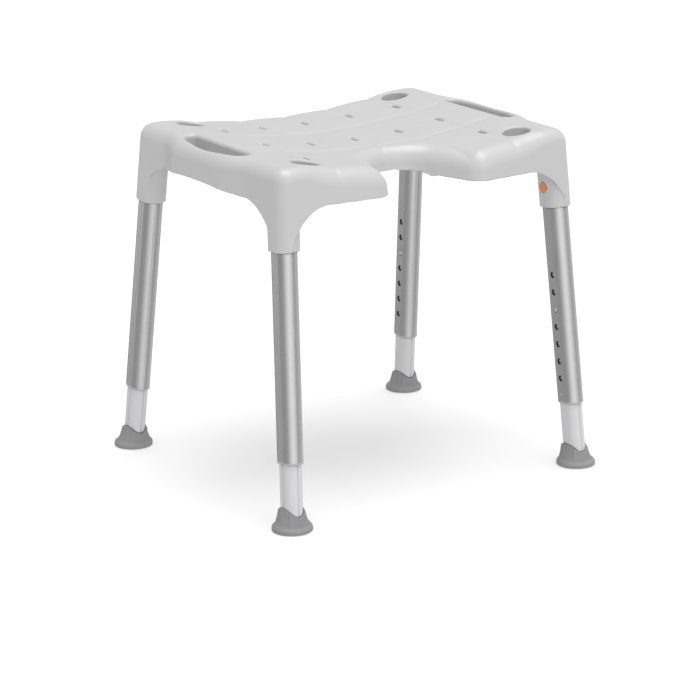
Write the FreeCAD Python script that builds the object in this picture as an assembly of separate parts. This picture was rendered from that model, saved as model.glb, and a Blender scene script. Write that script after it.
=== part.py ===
"""Shower stool: one moulded seat on four telescopic legs. Millimetres, +Z up.

The origin is on the floor under the middle of the seat. The side with the open recess is -Y.
One leg is built in its own frame, s along its axis from the floor, and mirrored to the corners.
"""

import FreeCAD, Part
import math
import os

V = FreeCAD.Vector

# Leg layout
FOOT_X = 240.5
FOOT_Y = 214.0
LEAN_X = 0.0414  # inward shift per mm of height
LEAN_Y = 0.1053
FLAT = 5.5  # half length of every oval's flat side

# Outer tube and its bush
TUBE_R = 14.5  # half width across the flats
TUBE_WALL = 1.6
TUBE_S = (93.5, 470.0)
TUBE_BORE_R = TUBE_R - TUBE_WALL
HOLE_PITCH = 25.0
HOLE_COUNT = 7
HOLE_R = 4.5
LOWEST_HOLE_S = 127.7
PIN_HOLE = 4  # the button's hole, counted up from the lowest
GROOVE_R = 0.9
GROOVE_DEPTH = 0.6
BUSH_LENGTH = 25.0
BUSH_LIP = 2.5
BUSH_NUB_R = 2.0
BUSH_NUB_S = 104.7

# Inner leg, its glide, button and spring clip
LEG_R = 12.0
LEG_WALL = 1.5
LEG_S = (10.0, 300.0)
LEG_BORE_R = LEG_R - LEG_WALL
SLIDE_GAP = 0.3
GLIDE_FLANGE = 6.0
GLIDE_PLUG = 12.0
PIN_R = 4.0
PIN_FLANGE_R = 6.5
PIN_PROUD = 0.8
CLIP_THICK = 0.8
CLIP_WIDTH = 8.0

# Foot
SOLE_R = 27.5
SOLE_HEIGHT = 5.5
SOLE_EDGE = 2.0
FOOT_TOP = 30.0
FOOT_WALL = 3.0
WASHER = 2.0

# Seat
WALL = 3.6
SEAT_Z = 470.0  # height at which the seat's half sizes are given
SEAT_HALF_X = 241.0
SEAT_HALF_Y = 190.0
CORNER_R = 21.0
BULGE = 14.0  # how far each handle side bows out
BULGE_HALF = 96.0
LOBE_BOW = 6.5  # how far the front side stands out beside the recess
SKIRT_Z = 350.0
TOP_Z = 500.0
DISH_Z = 465.0
DISH_RISE = 0.00049
ROLL_FROM = 165.0
ROLL = 0.0022
EDGE_R = 15.0
INNER_EDGE_R = 11.0

# Front recess
RECESS_R = 50.0
RECESS_Y = -134.0
RECESS_LEAN = math.radians(18)
RECESS_DRAFT = 0.05
LOBE_R = 19.0
APRON_Z = 429.5
RECESS_DEEP_Z = 423.5  # lower edge of the recess's own wall

# Collars
COLLAR_R = 19.2
COLLAR_S = 375.0
SOCKET_R = TUBE_R + SLIDE_GAP
SOCKET_END = 473.5

# Leg release button
RELEASE_S = 404.0
RELEASE_R = 7.0
RELEASE_GAP = 0.4
RELEASE_FLANGE_R = 9.0
RELEASE_SUNK = 0.2
RELEASE_FLANGE_X = (-12.0, -10.4)
RELEASE_DISH_R = 45.0
CARRIER_S = (386.0, 422.0)
CARRIER_FLOOR_X = 8.0
SPRING_R = 6.8  # the ribbed rubber spring behind the button
SPRING_BORE_R = 4.6
SPRING_NECK_R = 5.8
SPRING_RIBS = 6
SPIGOT_R = 4.3
SPIGOT_LENGTH = 2.5

# Handle slots, round sockets, drain slots and ribs
SLOT_INNER_X = 211.0
SLOT_OUTER_X = 241.0
SLOT_END_X = 235.0
SLOT_HALF_Y = 75.0
SLOT_BEND_Y = 52.0
SLOT_WALL_Z = 443.0
BORE_X = 175.0
BORE_Y = 148.0
BORE_R = 19.0
BORE_Z = 442.0
DRAIN_LENGTH = 24.0
DRAIN_WIDTH = 7.0
DRAINS = [(0, 125), (74, 121), (147, 105), (0, -3), (74, -4), (147, -3), (147, -105)]
RIB_THICK = 2.6
RIB_DEPTH = 6.0
RIB_X = (37.0, 110.0)
RIB_REACH_X = 204.0
RIB_Y = (61.0, -60.0)

CORNERS = {
    "front_left": (-1, -1),
    "front_right": (1, -1),
    "back_left": (-1, 1),
    "back_right": (1, 1),
}


def leg_placement():
    """The +X +Y leg's frame: x outboard, y to the back, z up the leg from the floor."""
    up = V(-LEAN_X, -LEAN_Y, 1).normalize()
    side = (V(1, 0, 0) - up * up.x).normalize()
    back = up.cross(side)
    rows = []
    for i, shift in enumerate((FOOT_X, FOOT_Y, 0.0)):
        rows += [side[i], back[i], up[i], shift]
    return FreeCAD.Placement(FreeCAD.Matrix(*rows, 0, 0, 0, 1))


def placed(shape):
    """A shape of the leg's frame, moved to the +X +Y corner."""
    moved = shape.copy()
    moved.Placement = leg_placement().multiply(moved.Placement)
    return moved


def at_corner(shape, corner):
    """A shape of the +X +Y corner, mirrored to another corner."""
    across, along = corner
    result = shape.copy()
    if across < 0:
        result = result.mirror(V(0, 0, 0), V(1, 0, 0))
    if along < 0:
        result = result.mirror(V(0, 0, 0), V(0, 1, 0))
    return result


def oval_wire(radius, s, flat=FLAT, x=0.0, y=0.0):
    """An oval with flat sides of half length flat and round ends of that radius."""
    right = Part.LineSegment(V(x + radius, y - flat, s), V(x + radius, y + flat, s))
    back = Part.Arc(V(x + radius, y + flat, s), V(x, y + flat + radius, s), V(x - radius, y + flat, s))
    left = Part.LineSegment(V(x - radius, y + flat, s), V(x - radius, y - flat, s))
    front = Part.Arc(V(x - radius, y - flat, s), V(x, y - flat - radius, s), V(x + radius, y - flat, s))
    return Part.Wire([edge.toShape() for edge in (right, back, left, front)])


def oval(radius, low, high):
    """A solid oval bar from low to high along the leg."""
    return Part.Face(oval_wire(radius, low)).extrude(V(0, 0, high - low))


def cross_pin(radius, x_low, x_high, s):
    """A round bar across the leg, along its x."""
    return Part.makeCylinder(radius, x_high - x_low, V(x_low, 0, s), V(1, 0, 0))


def grooved(tube, radius, low, high):
    """Fine grooves along the tube's outboard flat and its two round ends."""
    reach = radius + GROOVE_R - GROOVE_DEPTH
    spots = ((reach, 0), (0, reach + FLAT), (0, -reach - FLAT))
    for x, y in spots:
        tube = tube.cut(Part.makeCylinder(GROOVE_R, high - low, V(x, y, low)))
    return tube


def outer_tube():
    low, high = TUBE_S
    tube = oval(TUBE_R, low, high).cut(oval(TUBE_BORE_R, low - 1, high + 1))
    tube = grooved(tube, TUBE_R, low, high)
    for i in range(HOLE_COUNT):
        hole_s = LOWEST_HOLE_S + i * HOLE_PITCH
        tube = tube.cut(cross_pin(HOLE_R, -TUBE_R - 1, -LEG_BORE_R, hole_s))
    tube = tube.cut(cross_pin(BUSH_NUB_R, -TUBE_R - 1, -LEG_BORE_R, BUSH_NUB_S))
    return tube.cut(cross_pin(RELEASE_R + RELEASE_GAP, -TUBE_R - 1, -LEG_BORE_R, RELEASE_S))


def guide_bush():
    low = TUBE_S[0]
    sleeve = oval(TUBE_BORE_R, low, low + BUSH_LENGTH)
    lip = oval(TUBE_R, low - BUSH_LIP, low)
    nub = cross_pin(BUSH_NUB_R, -TUBE_R - 0.3, -LEG_R - 0.6, BUSH_NUB_S)
    bore = oval(LEG_R + SLIDE_GAP, low - BUSH_LIP - 1, low + BUSH_LENGTH + 1)
    return sleeve.fuse([lip, nub]).cut(bore).removeSplitter()


def release_carrier():
    low, high = CARRIER_S
    block = oval(TUBE_BORE_R, low, high)
    pocket = oval(TUBE_BORE_R - 2.4, RELEASE_S + RELEASE_FLANGE_R + 2.4, high + 1)
    bore = cross_pin(RELEASE_FLANGE_R + RELEASE_GAP, -TUBE_R, CARRIER_FLOOR_X, RELEASE_S)
    return block.cut([pocket, bore])


def release_button():
    face_x = -COLLAR_R + RELEASE_SUNK
    flange_low, flange_high = RELEASE_FLANGE_X
    pin = cross_pin(RELEASE_R, face_x, flange_low, RELEASE_S)
    flange = cross_pin(RELEASE_FLANGE_R, flange_low, flange_high, RELEASE_S)
    spigot = cross_pin(SPIGOT_R, flange_high, flange_high + SPIGOT_LENGTH, RELEASE_S)
    thumb = Part.makeSphere(RELEASE_DISH_R, V(face_x - RELEASE_DISH_R + 0.5, 0, RELEASE_S))
    return pin.fuse([flange, spigot]).cut(thumb).removeSplitter()


def release_spring():
    """The ribbed rubber spring behind the release button, between its flange and the carrier."""
    clear = 0.1
    low = RELEASE_FLANGE_X[1] + clear
    high = CARRIER_FLOOR_X - clear
    pitch = (high - low) / (2 * SPRING_RIBS + 1)
    spring = cross_pin(SPRING_R, low, high, RELEASE_S)
    for i in range(SPRING_RIBS):
        start = low + (2 * i + 1) * pitch
        groove = cross_pin(SPRING_R + 1, start, start + pitch, RELEASE_S)
        neck = cross_pin(SPRING_NECK_R, start - 1, start + pitch + 1, RELEASE_S)
        spring = spring.cut(groove.cut(neck))
    return spring.cut(cross_pin(SPRING_BORE_R, low - 1, high + 1, RELEASE_S))


def pin_s():
    return LOWEST_HOLE_S + PIN_HOLE * HOLE_PITCH


def inner_leg():
    low, high = LEG_S
    tube = oval(LEG_R, low, high).cut(oval(LEG_BORE_R, low - 1, high + 1))
    tube = grooved(tube, LEG_R, low, high)
    return tube.cut(cross_pin(PIN_R + SLIDE_GAP, -LEG_R - 1, -LEG_R + 4, pin_s()))


def top_glide():
    top = LEG_S[1]
    flange = oval(TUBE_BORE_R - SLIDE_GAP, top, top + GLIDE_FLANGE)
    plug = oval(LEG_BORE_R, top - GLIDE_PLUG, top)
    hollow = oval(LEG_BORE_R - 2.0, top - GLIDE_PLUG - 1, top + GLIDE_FLANGE - 2.0)
    return flange.fuse(plug).cut(hollow).removeSplitter()


def height_button():
    tip = -TUBE_R - PIN_PROUD
    seat = -LEG_BORE_R + 0.6
    pin = cross_pin(PIN_R, tip, seat, pin_s())
    nose = [edge for edge in pin.Edges if abs(edge.CenterOfMass.x - tip) < 0.01]
    pin = pin.makeFillet(1.6, nose)
    flange = cross_pin(PIN_FLANGE_R, seat, seat + 1.4, pin_s())
    return pin.fuse(flange).removeSplitter()


def height_clip():
    """The V spring of flat steel that pushes the height button out."""
    near = -LEG_BORE_R + 2.05
    far = LEG_BORE_R - 0.1
    middle = pin_s()
    line = [
        (near, middle + 9),
        (near, middle - 9),
        (2.0, middle - 44),
        (5.0, middle - 44),
        (far, middle - 9),
        (far, middle + 9),
        (far - CLIP_THICK, middle + 9),
        (far - CLIP_THICK, middle - 9),
        (4.4, middle - 43.2),
        (2.6, middle - 43.2),
        (near + CLIP_THICK, middle - 9),
        (near + CLIP_THICK, middle + 9),
    ]
    points = [V(x, -CLIP_WIDTH / 2, s) for x, s in line]
    outline = Part.makePolygon(points + [points[0]])
    return Part.Face(outline).extrude(V(0, CLIP_WIDTH, 0))


def foot():
    """The rubber ferrule: a round sole that flows up into an oval cup. It stands in the row frame."""
    sole = Part.makeCylinder(SOLE_R, SOLE_HEIGHT, V(FOOT_X, FOOT_Y, 0))
    rims = [edge for edge in sole.Edges if edge.Length > SOLE_R * 6]
    sole = sole.makeFillet(SOLE_EDGE, rims)
    sections = ((SOLE_HEIGHT - 1.5, 23.5, 1.0), (14.0, 17.8, 3.6), (FOOT_TOP, LEG_R + FOOT_WALL, FLAT))
    wires = []
    for z, radius, flat in sections:
        wires.append(oval_wire(radius, z, flat, FOOT_X - LEAN_X * z, FOOT_Y - LEAN_Y * z))
    bell = Part.makeLoft(wires, True, False)
    cup = placed(oval(LEG_R, LEG_S[0] - WASHER, FOOT_TOP + 20))
    return sole.fuse(bell).cut(cup).removeSplitter()


def foot_washer():
    return oval(LEG_R, LEG_S[0] - WASHER, LEG_S[0])


def half_x(z):
    return SEAT_HALF_X + LEAN_X * (SEAT_Z - z)


def half_y(z):
    return SEAT_HALF_Y + LEAN_Y * (SEAT_Z - z)


def dish(x):
    """Height of the seat's top at x: it rises from the middle and rolls over at the handles."""
    roll = max(abs(x) - ROLL_FROM, 0.0)
    return DISH_Z + DISH_RISE * x * x - ROLL * roll * roll


def arc(centre, radius, start, end, z):
    """An arc about centre from one angle to another, in degrees."""
    angles = [math.radians(a) for a in (start, (start + end) / 2, end)]
    points = [V(centre[0] + radius * math.cos(a), centre[1] + radius * math.sin(a), z) for a in angles]
    return Part.Arc(*points).toShape()


def outline(z, inset):
    """The seat's closed outline at height z, moved into the material by inset."""
    a = half_x(z) - inset
    b = half_y(z) - inset
    r = CORNER_R - inset
    lobe_r = LOBE_R - inset
    opening = RECESS_R + inset + RECESS_DRAFT * (z - APRON_Z)
    sin, cos = math.sin(RECESS_LEAN), math.cos(RECESS_LEAN)
    tangent = V(opening * cos, RECESS_Y + opening * sin, z)
    front = b + LOBE_BOW
    wall = (tangent.y + front) / cos
    corner = V(tangent.x + wall * sin, -front, z)
    trim = lobe_r * math.tan((math.pi / 2 - RECESS_LEAN) / 2)
    wall_end = V(corner.x - trim * sin, corner.y + trim * cos, z)
    front_start = V(corner.x + trim, -front, z)
    centre = (wall_end.x + lobe_r * cos, wall_end.y + lobe_r * sin)
    lean = math.degrees(RECESS_LEAN)

    def line(x0, y0, x1, y1):
        return Part.LineSegment(V(x0, y0, z), V(x1, y1, z)).toShape()

    edges = [
        line(front_start.x, -front, a - r, -b),
        arc((a - r, -b + r), r, -90, 0, z),
        line(a, -b + r, a, -BULGE_HALF),
        Part.Arc(V(a, -BULGE_HALF, z), V(a + BULGE, 0, z), V(a, BULGE_HALF, z)).toShape(),
        line(a, BULGE_HALF, a, b - r),
        arc((a - r, b - r), r, 0, 90, z),
        line(a - r, b, -a + r, b),
        arc((-a + r, b - r), r, 90, 180, z),
        line(-a, b - r, -a, BULGE_HALF),
        Part.Arc(V(-a, BULGE_HALF, z), V(-a - BULGE, 0, z), V(-a, -BULGE_HALF, z)).toShape(),
        line(-a, -BULGE_HALF, -a, -b + r),
        arc((-a + r, -b + r), r, 180, 270, z),
        line(-a + r, -b, -front_start.x, -front),
        arc((-centre[0], centre[1]), lobe_r, -90, -lean, z),
        line(-wall_end.x, wall_end.y, -tangent.x, tangent.y),
        arc((0, RECESS_Y), opening, 180 - lean, lean, z),
        line(tangent.x, tangent.y, wall_end.x, wall_end.y),
        arc(centre, lobe_r, 180 + lean, 270, z),
    ]
    return Part.Wire(edges)


def under_dish(drop):
    """Everything under the seat's top surface lowered by drop."""
    reach = 290.0
    steps = 40
    xs = [-reach + 2 * reach * i / steps for i in range(steps + 1)]
    points = [V(x, -reach, dish(x) - drop) for x in xs]
    curve = Part.BSplineCurve()
    curve.interpolate(points)
    floor = SKIRT_Z - 20
    sides = [points[-1], V(reach, -reach, floor), V(-reach, -reach, floor), points[0]]
    edges = [curve.toShape()]
    edges += [Part.LineSegment(p, q).toShape() for p, q in zip(sides, sides[1:])]
    return Part.Face(Part.Wire(edges)).extrude(V(0, 2 * reach, 0))


def seat_block(inset, radius):
    """The seat's solid block, moved in by inset on every side, with its top edge rounded."""
    block = Part.makeLoft([outline(SKIRT_Z, inset), outline(TOP_Z, inset)], True, True)
    block = block.common(under_dish(inset))
    top = max(block.Faces, key=lambda face: face.CenterOfMass.z)
    return block.makeFillet(radius, top.OuterWire.Edges)


def arch_tool(side, crown_z, along_x):
    """A cutter that arches the skirt between two collars. side lists the arch's five points."""

    def point(t, z):
        return V(-300, t, z) if along_x else V(t, -300, z)

    right = [point(t, z) for t, z in side]
    left = [point(-t, z) for t, z in side]
    floor = [point(side[-1][0], SKIRT_Z - 30), point(-side[-1][0], SKIRT_Z - 30)]
    arched = crown_z > side[0][1]
    edges = [
        Part.Arc(left[0], point(0, crown_z), right[0]) if arched else Part.LineSegment(left[0], right[0]),
        Part.Arc(right[0], right[1], right[2]),
        Part.Arc(right[2], right[3], right[4]),
        Part.LineSegment(right[4], floor[0]),
        Part.LineSegment(floor[0], floor[1]),
        Part.LineSegment(floor[1], left[4]),
        Part.Arc(left[4], left[3], left[2]),
        Part.Arc(left[2], left[1], left[0]),
    ]
    wire = Part.Wire([edge.toShape() for edge in edges])
    return Part.Face(wire).extrude(V(600, 0, 0) if along_x else V(0, 600, 0))


def recess_wall_foot():
    """What the front arch leaves standing, so that the recess's wall reaches lower."""
    wide, narrow = 80.0, 50.0
    profile = ((-wide, APRON_Z), (-narrow, RECESS_DEEP_Z), (narrow, RECESS_DEEP_Z), (wide, APRON_Z))
    points = [V(x, -300, z) for x, z in profile]
    return Part.Face(Part.makePolygon(points + [points[0]])).extrude(V(0, 240, 0))


def handle_slot(grow, low, high):
    """A half-moon bar through the right handle: straight inboard edge, bowed outboard edge."""
    inner = SLOT_INNER_X - grow
    outer = SLOT_OUTER_X + grow
    end_x = SLOT_END_X + grow * 0.8
    end_y = SLOT_HALF_Y + grow
    bend_y = SLOT_BEND_Y + grow * 0.6
    soft = 8.0

    def at(x, y):
        return V(x, y, low)

    edges = [
        Part.Arc(at(end_x, -bend_y), at(outer, 0), at(end_x, bend_y)),
        Part.Arc(at(end_x, bend_y), at(end_x - 5.5, end_y - 3.5), at(inner + soft, end_y)),
        Part.Arc(at(inner + soft, end_y), at(inner + 2, end_y - 2.5), at(inner, end_y - soft)),
        Part.LineSegment(at(inner, end_y - soft), at(inner, -end_y + soft)),
        Part.Arc(at(inner, -end_y + soft), at(inner + 2, -end_y + 2.5), at(inner + soft, -end_y)),
        Part.Arc(at(inner + soft, -end_y), at(end_x - 5.5, -end_y + 3.5), at(end_x, -bend_y)),
    ]
    wire = Part.Wire([edge.toShape() for edge in edges])
    return Part.Face(wire).extrude(V(0, 0, high - low))


def drain(x, y):
    """One drain slot, round at both ends, through the seat's top."""
    radius = DRAIN_WIDTH / 2
    wire = oval_wire(radius, DISH_Z - 20, DRAIN_LENGTH / 2 - radius, x, y)
    return Part.Face(wire).extrude(V(0, 0, 60))


def ribs():
    """Stiffening ribs under the top, clear of the drain slots."""
    low = DISH_Z - WALL - RIB_DEPTH
    bars = []
    for y in RIB_Y:
        corner = V(-RIB_REACH_X, y - RIB_THICK / 2, low)
        bars.append(Part.makeBox(2 * RIB_REACH_X, RIB_THICK, TOP_Z - low, corner))
    recess_back = RECESS_Y + RECESS_R + 2 * WALL
    for x in RIB_X:
        for sign in (-1, 1):
            start = recess_back if x < RECESS_R else -SEAT_HALF_Y + WALL
            length = SEAT_HALF_Y - WALL - start
            corner = V(sign * x - RIB_THICK / 2, start, low)
            bars.append(Part.makeBox(RIB_THICK, length, TOP_Z - low, corner))
    return bars


def seat():
    block = seat_block(0.0, EDGE_R)
    shell = block.cut(seat_block(WALL, INNER_EDGE_R))
    front_side = ((165, APRON_Z), (192, 423), (212, 407), (225, 388), (231, 364))
    hand_side = ((95, 433), (133, 424.5), (158, 408), (172, 390), (180, 364))
    shell = shell.cut(arch_tool(front_side, APRON_Z, False).cut(recess_wall_foot()))
    shell = shell.cut(arch_tool(hand_side, 439.0, True))

    walls = []
    for across in (-1, 1):
        chute = handle_slot(WALL, SLOT_WALL_Z, TOP_Z)
        walls.append(chute if across > 0 else chute.mirror(V(0, 0, 0), V(1, 0, 0)))
    collar = placed(oval(COLLAR_R, COLLAR_S - 40, SOCKET_END + 40))
    socket_boss = Part.makeCylinder(BORE_R + WALL, TOP_Z - BORE_Z, V(BORE_X, BORE_Y, BORE_Z))
    for corner in CORNERS.values():
        walls.append(at_corner(collar, corner))
        walls.append(at_corner(socket_boss, corner))
    walls += ribs()
    inner = [block.common(wall) for wall in walls]
    body = shell.fuse(inner)

    slot = handle_slot(0.0, SLOT_WALL_Z - 20, TOP_Z + 20)
    cuts = [slot, slot.mirror(V(0, 0, 0), V(1, 0, 0))]
    below = placed(Part.makeBox(120, 120, 80, V(-60, -60, COLLAR_S - 80)))
    cavity = placed(oval(SOCKET_R, COLLAR_S - 5, SOCKET_END))
    button_hole = placed(cross_pin(RELEASE_R + RELEASE_GAP, -COLLAR_R - 3, -TUBE_R, RELEASE_S))
    bore = Part.makeCylinder(BORE_R, TOP_Z - BORE_Z + 40, V(BORE_X, BORE_Y, BORE_Z - 20))
    for corner in CORNERS.values():
        cuts += [at_corner(tool, corner) for tool in (below, cavity, button_hole, bore)]
    for x, y in DRAINS:
        for sign in {-1, 1} if x else {1}:
            cuts.append(drain(sign * x, y))
    for tool in cuts:
        body = body.cut(tool)
    return max(body.removeSplitter().Solids, key=lambda solid: solid.Volume)


def save(shape, name):
    solid = shape.Solids[0] if len(shape.Solids) == 1 else shape
    solid.exportStep(f"parts/{name}.step")
    print(f"{name}: {len(shape.Solids)} solid, valid {shape.isValid()}, {shape.Volume / 1000:.2f} cm3")


def main():
    os.makedirs("parts", exist_ok=True)
    save(seat(), "seat")
    leg_parts = {
        "outer_tube": placed(outer_tube()),
        "guide_bush": placed(guide_bush()),
        "release_carrier": placed(release_carrier()),
        "release_button": placed(release_button()),
        "release_spring": placed(release_spring()),
        "inner_leg": placed(inner_leg()),
        "top_glide": placed(top_glide()),
        "height_button": placed(height_button()),
        "height_clip": placed(height_clip()),
        "foot_washer": placed(foot_washer()),
        "foot": foot(),
    }
    for corner_name, corner in CORNERS.items():
        for part_name, shape in leg_parts.items():
            save(at_corner(shape, corner), f"{corner_name}_{part_name}")


main()
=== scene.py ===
import math

import bpy
import numpy as np
import openvdb
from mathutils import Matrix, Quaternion, Vector


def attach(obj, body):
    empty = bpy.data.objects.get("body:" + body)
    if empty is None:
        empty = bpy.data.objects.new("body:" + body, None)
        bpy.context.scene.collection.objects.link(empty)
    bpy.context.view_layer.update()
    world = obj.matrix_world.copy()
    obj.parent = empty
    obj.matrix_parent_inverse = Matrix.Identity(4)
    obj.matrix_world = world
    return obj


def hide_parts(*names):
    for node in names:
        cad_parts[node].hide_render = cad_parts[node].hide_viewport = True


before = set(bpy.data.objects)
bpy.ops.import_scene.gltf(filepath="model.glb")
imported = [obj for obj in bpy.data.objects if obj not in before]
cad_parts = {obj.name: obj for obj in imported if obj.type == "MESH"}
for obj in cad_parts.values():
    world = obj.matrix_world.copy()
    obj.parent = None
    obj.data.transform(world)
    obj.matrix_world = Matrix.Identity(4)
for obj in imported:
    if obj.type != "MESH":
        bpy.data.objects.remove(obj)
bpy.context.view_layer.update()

MM = 0.001
CORNERS = {
    "front_left": (-1, -1),
    "front_right": (1, -1),
    "back_left": (-1, 1),
    "back_right": (1, 1),
}

# Legs, in millimetres: where each axis meets the floor and how far it leans in per mm of height
FOOT_X = 240.5
FOOT_Y = 214.0
LEAN_X = 0.0414
LEAN_Y = 0.1053
FLAT = 5.5  # half length of every oval's flat side


# ---------------------------------------------------------------- distance fields, in millimetres


def inter(a, b, r=0.0):
    """What is inside both fields, with the edge between them rounded to r."""
    return np.minimum(-r, np.maximum(a, b)) + np.hypot(np.maximum(a + r, 0), np.maximum(b + r, 0))


def union(a, b, r=0.0):
    return -inter(-a, -b, r)


def minus(a, b, r=0.0):
    return inter(a, -b, r)


def smooth(t):
    """A soft step from 0 to 1 as t goes from 0 to 1."""
    t = np.clip(t, 0, 1)
    return t * t * (3 - 2 * t)


def box2(x, y, half_x, half_y, r):
    """A rectangle with rounded corners."""
    qx = np.abs(x) - half_x + r
    qy = np.abs(y) - half_y + r
    return np.hypot(np.maximum(qx, 0), np.maximum(qy, 0)) + np.minimum(np.maximum(qx, qy), 0) - r


def oval(x, y, radius, flat):
    """An oval, flat along y."""
    return np.hypot(x, np.maximum(np.abs(y) - flat, 0)) - radius


def ellipse(x, y, semi_x, semi_y):
    """A near distance to an ellipse about the origin."""
    k0 = np.hypot(x / semi_x, y / semi_y) + 1e-3
    k1 = np.hypot(x / semi_x**2, y / semi_y**2) + 1e-5
    return k0 * (k0 - 1) / k1


def mesh_from_field(name, field, low, high, cell, body, replaced):
    """A closed mesh on the field's zero surface, with the field's own normals."""
    counts = [int(math.ceil((b - a) / cell)) + 1 for a, b in zip(low, high)]
    axes = [a + cell * np.arange(n) for a, n in zip(low, counts)]
    values = field(*np.meshgrid(*axes, indexing="ij", sparse=True))
    band = 3 * cell
    grid = openvdb.FloatGrid(band)
    grid.copyFromArray(np.clip(values, -band, band).astype(np.float32), ijk=(0, 0, 0), tolerance=0.0)
    grid.transform = openvdb.createLinearTransform(voxelSize=cell)
    points, triangles, quads = grid.convertToPolygons(isovalue=0.0, adaptivity=0.0)
    points = points.astype(float) + np.array(low)

    def gradient(p, step):
        parts = []
        for i in range(3):
            shift = np.zeros(3)
            shift[i] = step
            parts.append(field(*(p + shift).T) - field(*(p - shift).T))
        return np.stack(parts, axis=1) / (2 * step)

    for _ in range(4):
        slope = gradient(points, 0.05)
        length = np.maximum((slope**2).sum(1), 0.05)
        step = field(*points.T) / length
        step = np.clip(step, -0.5 * cell, 0.5 * cell)
        points -= slope * step[:, None]
    normals = gradient(points, 0.2)
    normals /= np.linalg.norm(normals, axis=1)[:, None] + 1e-9

    faces = [tuple(f) for f in quads.tolist()] + [tuple(f) for f in triangles.tolist()]
    mesh = bpy.data.meshes.new(name)
    mesh.from_pydata((points * MM).tolist(), [], faces)
    mesh.polygons.foreach_set("use_smooth", [True] * len(mesh.polygons))
    mesh.normals_split_custom_set_from_vertices(normals.tolist())
    print(name, len(points), "vertices", len(faces), "faces")
    return add_piece(mesh, name, body, replaced)


def add_piece(mesh, name, body, replaced):
    piece = bpy.data.objects.new(name, mesh)
    bpy.context.scene.collection.objects.link(piece)
    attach(piece, body)
    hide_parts(replaced)
    return piece


# ---------------------------------------------------------------- seat

WALL = 3.6
SEAT_Z = 470.0
SEAT_HALF_X = 241.0
SEAT_HALF_Y = 190.0
DISH_Z = 465.0
DISH_CURVE = 0.00049
ROLL_X = 165.0
ROLL_CURVE = 0.0022
CORNER_R = 21.0
BULGE = 14.0
LOBE_BOW = 6.5  # how far the front stands out beside the recess
APRON_Z = 429.5
RECESS_R = 47.0
RECESS_Y = -134.0
RECESS_LEAN = math.radians(18)
RECESS_DRAFT = 0.13  # how much wider the recess gets per mm of height
RECESS_DROP = 15.0  # how much lower the front arch cuts at y = -88 than at y = -140
LOBE_R = 19.0
ROLL_R = 17.0  # the rounded rim of the top
FRONT_ROLL = 8.0  # how much more the front rim is rounded
SEAM_X = (0.0, 74.0, 147.0)
SEAM_Y = (61.0, -60.0)
SEAM_HALF = 4.6
CROWN_REACH = 22.0  # how far from a seam its tile comes up to full height
CROWN = 1.2
SEAM_DEPTH = 1.2
RIB_X = (37.0, 110.0)
RIB_HALF = 1.3
RIB_Z = 455.4
DRAIN_R = 3.5
DRAIN_HALF = 6.5
DRAINS = ((0, 125), (74, 121), (147, 105), (0, -3), (74, -4), (147, -3), (147, -105))
ARCH_Z = 350.0
FRONT_ARCH_X = 165.0  # where the front arch's straight crown ends
HAND_ARCH_Y = 95.0
BORE_X = 175.0
BORE_Y = 148.0
BORE_R = 19.0
BOSS_Z = 442.0
SLOT_X = 211.0
SLOT_END_X = 235.0
SLOT_BOW_R = 228.3
SLOT_HALF_Y = 75.0
SLOT_WALL_Z = 443.0
COLLAR_R = 19.2
COLLAR_FLAT = 3.7
COLLAR_S = 375.0
SOCKET_R = 14.8
SOCKET_END = 473.5
RELEASE_S = 404.0
RELEASE_HOLE_R = 7.4


def leg_axes():
    up = np.array((-LEAN_X, -LEAN_Y, 1.0))
    up /= np.linalg.norm(up)
    side = np.array((1.0, 0.0, 0.0)) - up * up[0]
    side /= np.linalg.norm(side)
    return side, np.cross(up, side), up


def leg_frame(ax, ay, z):
    """The +X +Y leg's own x, y and s at a point."""
    dx, dy = ax - FOOT_X, ay - FOOT_Y
    return [dx * v[0] + dy * v[1] + z * v[2] for v in leg_axes()]


def outline(ax, y, z):
    """The seat's outline seen from above, with its two bowed handles and the front recess."""
    drop = SEAT_Z - z
    a = SEAT_HALF_X + LEAN_X * drop
    b = SEAT_HALF_Y + LEAN_Y * drop
    bow = BULGE * smooth((116 - np.abs(y)) / 62) - 1.5 * np.minimum(np.abs(y) / 96, 1) ** 2
    lobe = np.where(y < 0, LOBE_BOW * smooth((190 - ax) / 120), 0)
    block = box2(ax - bow * smooth((ax - 150) / 60), y + lobe, a, b, CORNER_R)
    py = y - RECESS_Y
    radius = RECESS_R + RECESS_DRAFT * (z - APRON_Z)
    sin, cos = math.sin(RECESS_LEAN), math.cos(RECESS_LEAN)
    wall = ax * cos + py * sin - radius
    bowl = np.hypot(ax, py) - radius
    recess = np.where(ax * sin - py * cos > 0, wall, bowl)
    return minus(block, recess, LOBE_R)


def dish(ax):
    """The height of the top along X: a shallow dish that rolls off towards the handles."""
    roll = np.maximum(ax - ROLL_X, 0.0)
    return DISH_Z + DISH_CURVE * ax**2 - ROLL_CURVE * roll**2


def dish_slope(ax):
    return 2 * DISH_CURVE * ax - 2 * ROLL_CURVE * np.maximum(ax - ROLL_X, 0.0)


def relief(ax, y):
    """The padded look of the top: soft seams between slightly crowned tiles."""
    fade = np.clip((198.0 - ax) / 8.0, 0, 1)
    depth = 0.0
    near = 1.0
    for seam in SEAM_X:
        d = ax - seam
        depth = depth + np.exp(-((d / SEAM_HALF) ** 2))
        near = near * (1 - np.exp(-((d / CROWN_REACH) ** 2)))
    for seam in SEAM_Y:
        d = y - seam
        depth = depth + fade * np.exp(-((d / SEAM_HALF) ** 2))
        near = near * (1 - fade * np.exp(-((d / CROWN_REACH) ** 2)))
    return CROWN * near - SEAM_DEPTH * np.minimum(depth, 1.1)


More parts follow.
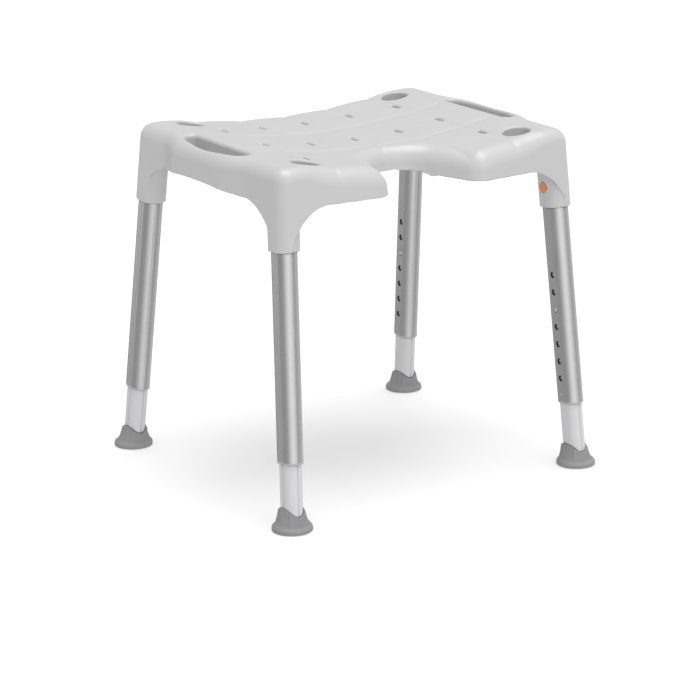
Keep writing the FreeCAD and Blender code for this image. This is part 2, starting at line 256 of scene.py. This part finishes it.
def hand_slot(ax, y, grow):
    """The hand slot, bowed outwards, with its outline moved out by grow."""
    bowed = np.hypot(ax - (SLOT_END_X + 6 - SLOT_BOW_R), y) - SLOT_BOW_R - grow
    slot = inter(bowed, SLOT_X - grow - ax, 6)
    return inter(slot, np.abs(y) - SLOT_HALF_Y - grow, 9)


def seat_field(x, y, z):
    ax, ay = np.abs(x), np.abs(y)
    plan = outline(ax, y, z)
    tilt = np.sqrt(1 + dish_slope(ax) ** 2)
    roll = ROLL_R + FRONT_ROLL * smooth((-60 - y) / 60) * smooth((204 - ax) / 40)
    outer = inter(plan, (z - dish(ax) - relief(ax, y)) / tilt, roll)
    outer = minus(outer, hand_slot(ax, y, 0.0), 6)

    # The space under the shell, less the walls and ribs that stand in it
    hollow = inter(plan + WALL, (z - dish(ax)) / tilt + WALL + 1, 18)
    boss = inter(np.hypot(ax - BORE_X, ay - BORE_Y) - BORE_R - WALL, BOSS_Z - z)
    chute = inter(hand_slot(ax, y, WALL), SLOT_WALL_Z - z)
    rib_low = RIB_Z - z
    for rib_x in RIB_X:
        hollow = minus(hollow, inter(np.abs(ax - rib_x) - RIB_HALF, rib_low, 0.6), 0.8)
    for rib_y in SEAM_Y:
        rib = inter(inter(np.abs(y - rib_y) - RIB_HALF, rib_low, 0.6), ax - 204)
        hollow = minus(hollow, rib, 0.8)
    hollow = minus(hollow, boss, 1.0)
    hollow = minus(hollow, chute, 1.0)
    shell = minus(outer, hollow, 0.8)

    # The arched lower edge between the collars
    deep = np.where(y < 0, RECESS_DROP * smooth((y + 140) / 52), 0)
    front_arch = ellipse(np.maximum(ax - FRONT_ARCH_X, 0), z - ARCH_Z + deep, 66, 80.5)
    crown = 6 * np.maximum(1 - (y / HAND_ARCH_Y) ** 2, 0)
    hand_arch = ellipse(np.maximum(ay - HAND_ARCH_Y, 0), z - ARCH_Z - crown, 85, 83)
    shell = minus(shell, front_arch, 1.2)
    shell = minus(shell, hand_arch, 1.2)

    # The collars that hold the legs
    lx, ly, s = leg_frame(ax, ay, z)
    below = COLLAR_S - s
    collar = inter(oval(lx, ly, COLLAR_R, COLLAR_FLAT), below, 1.6)
    body = np.maximum(union(inter(shell, below, 1.0), collar, 2), outer)

    body = minus(body, inter(oval(lx, ly, SOCKET_R, FLAT), s - SOCKET_END), 0.7)
    button = inter(np.hypot(ly, s - RELEASE_S) - RELEASE_HOLE_R, lx + 10)
    body = minus(body, button, 0.6)
    body = minus(body, np.hypot(ax - BORE_X, ay - BORE_Y) - BORE_R, 3)
    for drain_x, drain_y in DRAINS:
        body = minus(body, oval(ax - drain_x, y - drain_y, DRAIN_R, DRAIN_HALF), 2.2)
    return body


# ---------------------------------------------------------------- feet


SOLE_R = 27.5
SOLE_Z = 7.0
SOLE_RINGS = (9.0, 15.0, 21.0)
CUP_R = 12.15
CUP_S = 8.0
NECK_R = 15.0


def foot_field(x, y, z):
    """The rubber foot of the +X +Y corner: a round sole that flows up into an oval cup."""
    px = x - FOOT_X + LEAN_X * z
    py = y - FOOT_Y + LEAN_Y * z
    spread = px**2 / (px**2 + py**2 + 4)  # 1 across the leg, 0 along its flats
    rise = np.clip((30.0 - z) / 26.0, 0, 1)
    radius = NECK_R + (6.5 + 5.5 * spread) * rise ** (1.7 - 0.5 * spread)
    flat = FLAT - 4.0 * rise
    body = oval(px, py, radius, flat) * 0.93
    panel = np.clip((spread - 0.42) / 0.12, 0, 1) * np.clip((z - 7.0) / 4.0, 0, 1)
    panel = smooth(panel)
    ridge = np.exp(-(((spread - 0.42) / 0.10) ** 2)) * np.clip((z - 6.0) / 4.0, 0, 1)
    body = body + 0.75 * panel - 0.45 * ridge
    rim = 21.5 + 8.5 * np.clip(spread * 1.5, 0, 1) ** 0.9
    body = inter(body, z - rim, 1.4)
    sole_x = x - FOOT_X
    sole_y = y - FOOT_Y
    sole_r = np.hypot(sole_x, sole_y)
    sole = inter(inter(sole_r - SOLE_R, z - SOLE_Z, 3.2), -z, 0.9)
    foot = union(body, sole, 2.2)
    foot = inter(foot, -z, 0.9)
    for ring in SOLE_RINGS:
        foot = minus(foot, inter(np.abs(sole_r - ring) - 1.2, z - 1.2), 0.3)
    lx, ly, s = leg_frame(x, y, z)
    cup = inter(oval(lx, ly, CUP_R, FLAT), CUP_S - s)
    return minus(foot, cup, 0.6)


# ---------------------------------------------------------------- materials


def material(name, base, rough, metallic, grain, mottle, bump, painted_gap_shade=0.0):
    """A procedural finish.

    base is the colour, rough a (low, high) pair, grain the noise scale of the roughness,
    mottle a (scale, strength) of the colour change, and bump (scale, stretch, distance, strength).
    The last argument, from 0 to 1, is how much painted shade darkens narrow gaps and crevices: an
    ambient-occlusion term is multiplied into the colour.
    Lengths here are in metres, and noise scales are per metre.
    """
    made = bpy.data.materials.new(name)
    made.use_nodes = True
    tree = made.node_tree
    nodes, links = tree.nodes, tree.links
    shader = nodes["Principled BSDF"]
    shader.inputs["Metallic"].default_value = metallic
    place = nodes.new("ShaderNodeTexCoord")

    def noise(scale, detail, stretch=(1, 1, 1)):
        mapping = nodes.new("ShaderNodeMapping")
        mapping.inputs["Scale"].default_value = stretch
        links.new(place.outputs["Object"], mapping.inputs["Vector"])
        node = nodes.new("ShaderNodeTexNoise")
        node.inputs["Scale"].default_value = scale
        node.inputs["Detail"].default_value = detail
        links.new(mapping.outputs["Vector"], node.inputs["Vector"])
        return node.outputs["Fac"]

    scale, strength = mottle
    ramp = nodes.new("ShaderNodeValToRGB")
    dark = [c * (1 - strength) for c in base]
    light = [min(c * (1 + strength), 1.0) for c in base]
    ramp.color_ramp.elements[0].position = 0.3
    ramp.color_ramp.elements[0].color = (*dark, 1)
    ramp.color_ramp.elements[1].position = 0.7
    ramp.color_ramp.elements[1].color = (*light, 1)
    links.new(noise(scale, 4), ramp.inputs["Fac"])
    colour = ramp.outputs["Color"]
    # Painted shade: the colour is darkened where an ambient-occlusion node finds surfaces close by, in
    # holes and gaps.
    if painted_gap_shade:
        gap = nodes.new("ShaderNodeAmbientOcclusion")
        gap.samples = 8
        gap.inputs["Distance"].default_value = 0.008
        links.new(nodes.new("ShaderNodeNewGeometry").outputs["True Normal"], gap.inputs["Normal"])
        curve = nodes.new("ShaderNodeMapRange")
        curve.inputs["From Min"].default_value = 0.48
        curve.inputs["From Max"].default_value = 0.84
        curve.inputs["To Min"].default_value = 1 - painted_gap_shade
        links.new(gap.outputs["AO"], curve.inputs["Value"])
        shade = nodes.new("ShaderNodeVectorMath")
        shade.operation = "SCALE"
        links.new(colour, shade.inputs[0])
        links.new(curve.outputs["Result"], shade.inputs["Scale"])
        colour = shade.outputs["Vector"]
    links.new(colour, shader.inputs["Base Color"])

    spread = nodes.new("ShaderNodeMapRange")
    spread.inputs["From Min"].default_value = 0.3
    spread.inputs["From Max"].default_value = 0.7
    spread.inputs["To Min"].default_value = rough[0]
    spread.inputs["To Max"].default_value = rough[1]
    links.new(noise(grain, 3), spread.inputs["Value"])
    links.new(spread.outputs["Result"], shader.inputs["Roughness"])

    scale, stretch, distance, strength = bump
    relief_node = nodes.new("ShaderNodeBump")
    relief_node.inputs["Distance"].default_value = distance
    relief_node.inputs["Strength"].default_value = strength
    links.new(noise(scale, 3, stretch), relief_node.inputs["Height"])
    links.new(relief_node.outputs["Normal"], shader.inputs["Normal"])
    return made


def make_materials():
    even = (1, 1, 1)
    drawn = (1, 1, 0.03)
    plastic = (0.549, 0.541, 0.545)
    # The tube, the inner leg and the height button get painted shade in their narrow gaps (the last
    # number, 0.9 or 0.8).
    return {
        "seat_plastic": material(
            "seat_plastic", plastic, (0.31, 0.40), 0.0, 60,
            (9, 0.012), (2400, even, 0.00008, 0.2),
        ),
        "anodised_tube": material(
            "anodised_tube", (0.69, 0.69, 0.695), (0.20, 0.28), 1.0, 160,
            (40, 0.02), (1500, drawn, 0.00005, 0.25), 0.9,
        ),
        "inner_leg_grey": material(
            "inner_leg_grey", (0.65, 0.65, 0.66), (0.42, 0.55), 0.0, 90,
            (30, 0.015), (1200, drawn, 0.00006, 0.3), 0.9,
        ),
        "bush_plastic": material(
            "bush_plastic", (0.45, 0.45, 0.46), (0.45, 0.6), 0.0, 90,
            (30, 0.02), (1800, even, 0.0001, 0.3),
        ),
        "inner_plastic": material(
            "inner_plastic", (0.40, 0.40, 0.41), (0.5, 0.62), 0.0, 90,
            (30, 0.02), (1800, even, 0.0001, 0.3),
        ),
        "release_orange": material(
            "release_orange", (0.82, 0.26, 0.08), (0.35, 0.48), 0.0, 90,
            (60, 0.03), (1800, even, 0.0001, 0.3),
        ),
        "button_steel": material(
            "button_steel", (0.92, 0.92, 0.92), (0.14, 0.20), 1.0, 300,
            (80, 0.02), (2000, even, 0.00004, 0.3), 0.8,
        ),
        "spring_steel": material(
            "spring_steel", (0.50, 0.50, 0.51), (0.25, 0.38), 1.0, 300,
            (80, 0.03), (2000, even, 0.00004, 0.3),
        ),
        "washer_steel": material(
            "washer_steel", (0.58, 0.58, 0.58), (0.3, 0.42), 1.0, 300,
            (80, 0.03), (1500, even, 0.00005, 0.3),
        ),
        "foot_rubber": material(
            "foot_rubber", (0.27, 0.27, 0.275), (0.55, 0.72), 0.0, 80,
            (25, 0.05), (1600, even, 0.00018, 0.5),
        ),
    }


NODE_SLOTS = {
    "outer_tube": "anodised_tube",
    "guide_bush": "bush_plastic",
    "release_carrier": "inner_plastic",
    "release_button": "release_orange",
    "release_spring": "inner_plastic",
    "inner_leg": "inner_leg_grey",
    "top_glide": "inner_plastic",
    "height_button": "button_steel",
    "height_clip": "spring_steel",
    "foot_washer": "washer_steel",
}


def paint(obj, finish):
    obj.data.materials.clear()
    obj.data.materials.append(finish)


def build_pieces():
    finishes = make_materials()
    seat = mesh_from_field(
        "moulded_seat", seat_field, (-263, -207, 370), (263, 207, 487), 2.2, "seat", "seat"
    )
    paint(seat, finishes["seat_plastic"])
    for corner, (across, along) in CORNERS.items():

        def field(x, y, z, across=across, along=along):
            return foot_field(x * across, y * along, z)

        centre = (across * FOOT_X, along * FOOT_Y)
        low = (centre[0] - 31, centre[1] - 31, -3)
        high = (centre[0] + 31, centre[1] + 31, 34)
        node = f"{corner}_foot"
        foot = mesh_from_field(
            f"{corner}_rubber_foot", field, low, high, 0.8, f"{corner}_leg", node
        )
        paint(foot, finishes["foot_rubber"])
        for part, slot in NODE_SLOTS.items():
            paint(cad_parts[f"{corner}_{part}"], finishes[slot])


# ---------------------------------------------------------------- room, light and camera


def make_stage():
    mesh = bpy.data.meshes.new("floor")
    half = 12.0
    low = -0.0005
    corners = [(-half, -half, low), (half, -half, low), (half, half, low), (-half, half, low)]
    mesh.from_pydata(corners, [], [(0, 1, 2, 3)])
    floor = bpy.data.objects.new("floor", mesh)
    bpy.context.scene.collection.objects.link(floor)
    white = material(
        "floor_white", (0.55, 0.55, 0.55), (0.6, 0.7), 0.0, 4, (3, 0.004), (300, (1, 1, 1), 0.0001, 0.1)
    )
    paint(floor, white)
    shader = white.node_tree.nodes["Principled BSDF"]
    shader.inputs["Emission Color"].default_value = (1, 1, 1, 1)
    shader.inputs["Emission Strength"].default_value = 0.42
    floor.visible_glossy = False


# Soft patches of light in the room: direction, sharpness and strength
PATCHES = (
    ((-0.31, -0.95, 0.0), 3.2, 0.68),
    ((0.98, 0.20, 0.0), 3.0, 0.35),
    ((-0.45, 0.89, 0.0), 60.0, 1.1),
)

# Suns: name, strength, spread in degrees and the way the light goes
SUNS = (
    ("high_sun", 2.6, 50, (-0.04, 0.03, -1.0)),
    ("front_sun", 0.3, 28, (0.0, 0.78, -0.62)),
)


def make_lights():
    """A bright room with soft patches of light low down around the stool, and two suns."""
    world = bpy.data.worlds.new("studio")
    world.use_nodes = True
    nodes, links = world.node_tree.nodes, world.node_tree.links
    place = nodes.new("ShaderNodeTexCoord")

    def math_node(operation, first, second):
        node = nodes.new("ShaderNodeMath")
        node.operation = operation
        for socket, value in zip(node.inputs, (first, second)):
            if isinstance(value, float):
                socket.default_value = value
            else:
                links.new(value, socket)
        return node.outputs[0]

    level = 0.37
    for direction, power, strength in PATCHES:
        facing = nodes.new("ShaderNodeVectorMath")
        facing.operation = "DOT_PRODUCT"
        facing.inputs[1].default_value = direction
        links.new(place.outputs["Generated"], facing.inputs[0])
        lobe = math_node("POWER", math_node("MAXIMUM", facing.outputs["Value"], 0.0), power)
        level = math_node("ADD", math_node("MULTIPLY", lobe, strength), level)
    links.new(level, nodes["Background"].inputs["Strength"])
    nodes["Background"].inputs["Color"].default_value = (1, 1, 1, 1)
    bpy.context.scene.world = world

    for name, energy, spread, aim in SUNS:
        data = bpy.data.lights.new(name, "SUN")
        data.energy = energy
        data.angle = math.radians(spread)
        sun = bpy.data.objects.new(name, data)
        sun.rotation_mode = "QUATERNION"
        sun.rotation_quaternion = Vector(aim).to_track_quat("-Z", "Y")
        bpy.context.scene.collection.objects.link(sun)
    bpy.context.scene.view_settings.view_transform = "Standard"


def make_camera():
    data = bpy.data.cameras.new("camera")
    data.lens = 139.64
    data.sensor_width = 36.0
    data.shift_x = 0.0115
    data.shift_y = -0.0823
    data.dof.use_dof = False
    data.clip_start, data.clip_end = 0.1, 60
    camera = bpy.data.objects.new("camera", data)
    azimuth, elevation = math.radians(-33.73), math.radians(15.58)
    flat = math.cos(elevation)
    back = Vector((math.sin(azimuth) * flat, -math.cos(azimuth) * flat, math.sin(elevation)))
    camera.location = Vector((0.0, 0.026, 0.235)) + back * 3.878
    camera.rotation_mode = "QUATERNION"
    roll = Quaternion((0, 0, 1), math.radians(-0.11))
    camera.rotation_quaternion = (-back).to_track_quat("-Z", "Y") @ roll
    bpy.context.scene.collection.objects.link(camera)
    bpy.context.scene.camera = camera


build_pieces()
make_stage()
make_lights()
make_camera()
